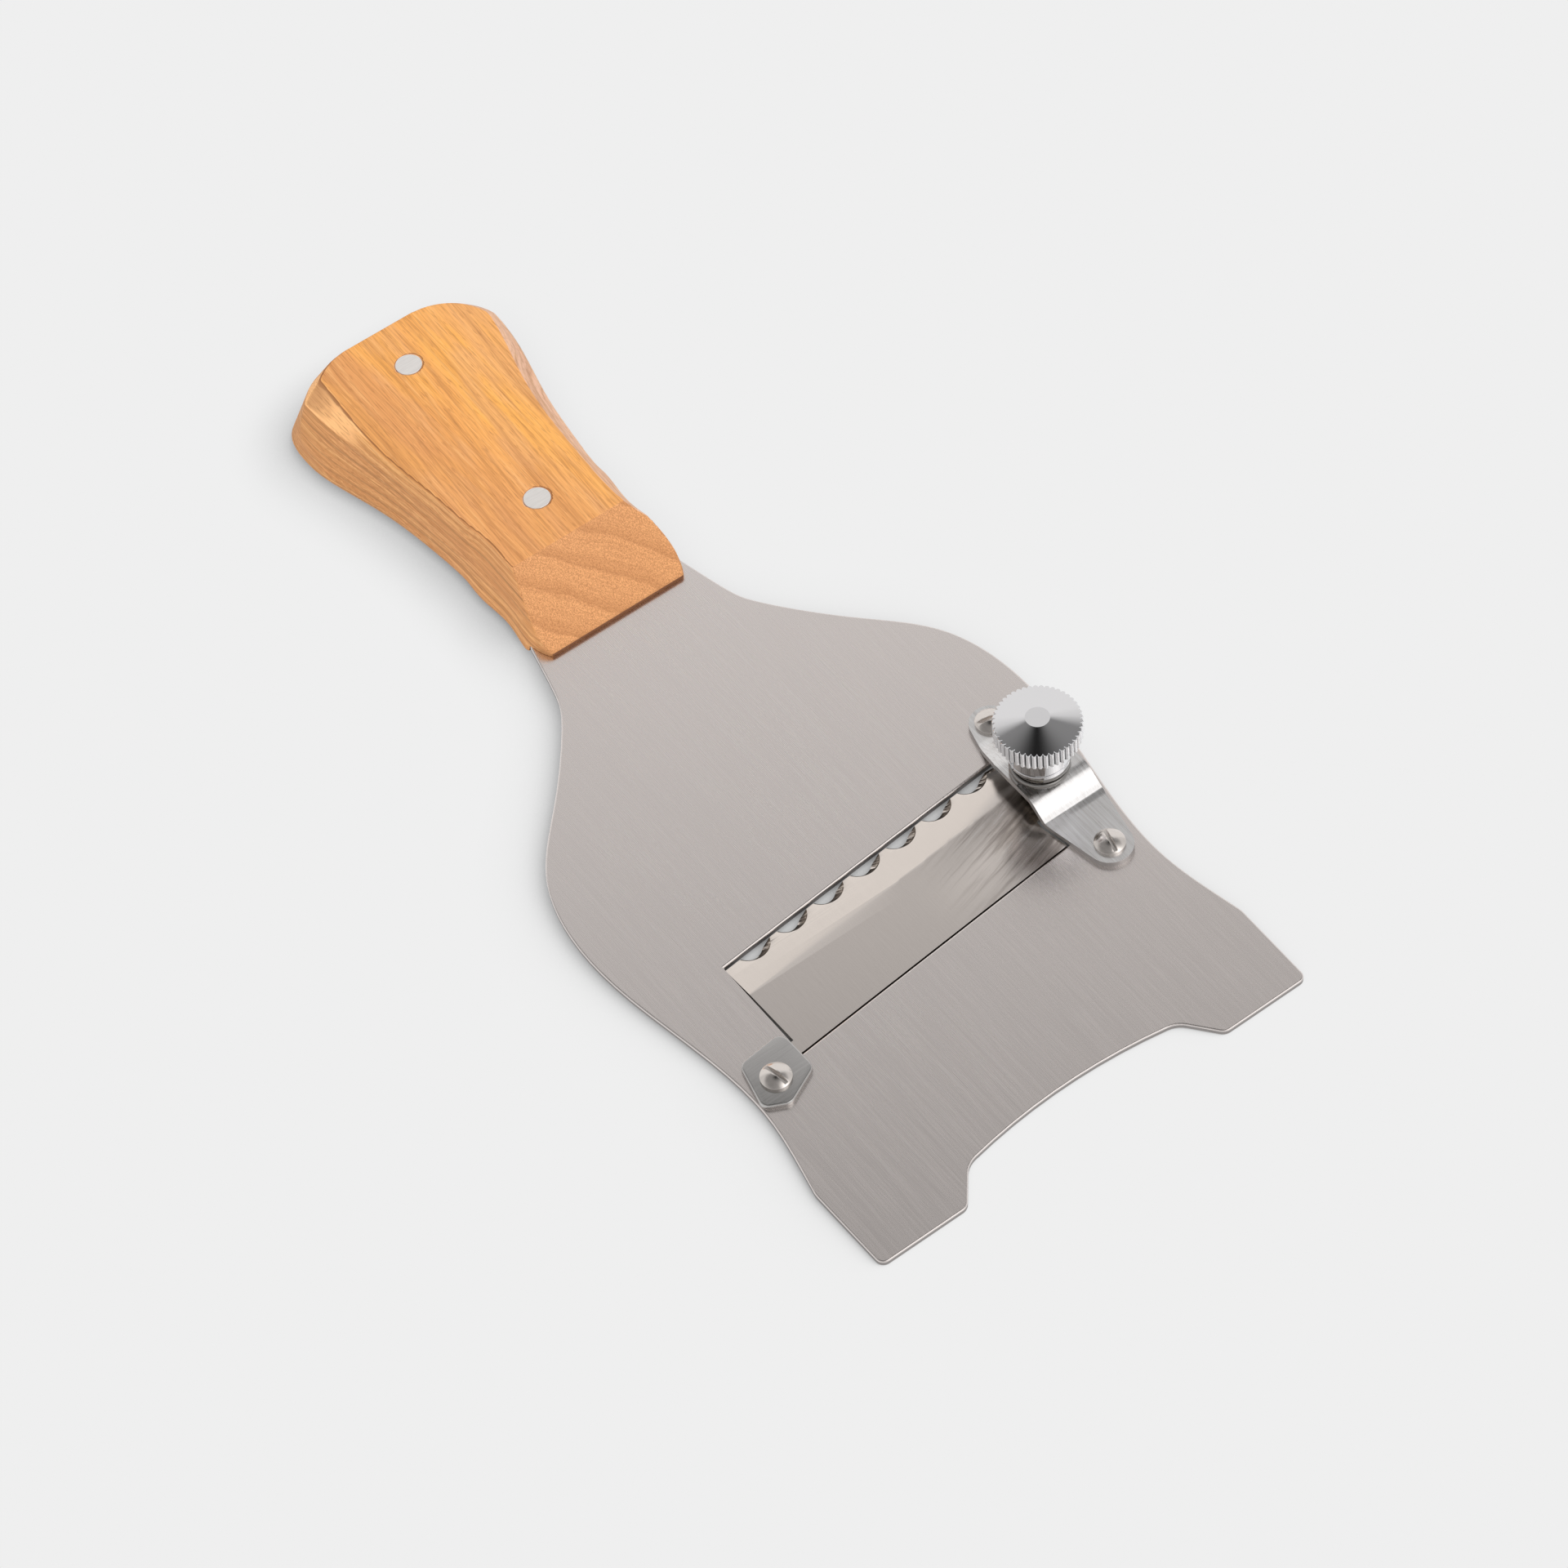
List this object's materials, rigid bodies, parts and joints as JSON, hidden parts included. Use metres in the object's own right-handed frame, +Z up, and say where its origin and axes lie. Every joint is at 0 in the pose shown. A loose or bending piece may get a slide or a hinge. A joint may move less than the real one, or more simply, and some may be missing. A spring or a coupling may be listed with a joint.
{
  "type": "truffle slicer",
  "caption": "Hand slicer with a flat steel plate, a toothed blade in a slanted window, a knurled height knob on a bridge and a riveted wooden handle.",
  "frame": {"origin": "middle of the underside of the handle's level, under the centre of the whole tool", "axes": "+X along the tool towards the tip of the plate, +Y towards the knob's side, +Z up out of the plate's top face"},
  "size_m": [0.2134, 0.0916, 0.0228],
  "materials": {
    "brushed_plate": "fine brushing along the length",
    "handle_wood": "smooth bare hardwood",
    "rivet_steel": "ground flush",
    "blade_steel": "ground, with a polished bevel",
    "brushed_fitting": "brushed",
    "screw_nickel": "polished nickel",
    "bush_brass": "turned",
    "spring_steel": "bright wire",
    "knob_chrome": "polished chrome"
  },
  "bodies": {
    "frame": {"slicer_plate": "brushed_plate", "handle_block": "handle_wood", "rear_handle_rivet": "rivet_steel", "front_handle_rivet": "rivet_steel", "blade_lug": "brushed_fitting", "blade_lug_screw": "screw_nickel", "bridge": "brushed_fitting", "bridge_bush": "bush_brass", "bridge_front_screw": "screw_nickel", "bridge_rear_screw": "screw_nickel", "knob_spring": "spring_steel"},
    "pressure_washer": {"thrust_washer": "knob_chrome"},
    "knob": {"knob_head": "knob_chrome", "knob_stud": "screw_nickel"},
    "blade": {"blade": "blade_steel"}
  },
  "joints": [
    {"name": "knob_travel", "type": "slide", "parent": "frame", "child": "pressure_washer", "axis": [0, 0, 1], "range_m": [-0.00035, 0.00175], "deforming": ["knob_spring"]},
    {"name": "knob_turn", "type": "hinge", "parent": "pressure_washer", "child": "knob", "pos_m": [0.04865, 0.0341, 0], "axis": [0, 0, 1], "range_deg": [-180, 900]},
    {"name": "blade_tilt", "type": "hinge", "parent": "frame", "child": "blade", "pos_m": [0, -0.02945, 0.00375], "axis": [1, 0, 0], "range_deg": [-0.32, 1.6]}
  ],
  "couplings": [
    {"joint": "knob_travel", "follows": "knob_turn", "m_per_rad": 0.0001114},
    {"joint": "blade_tilt", "follows": "knob_turn", "ratio": 0.00175}
  ]
}
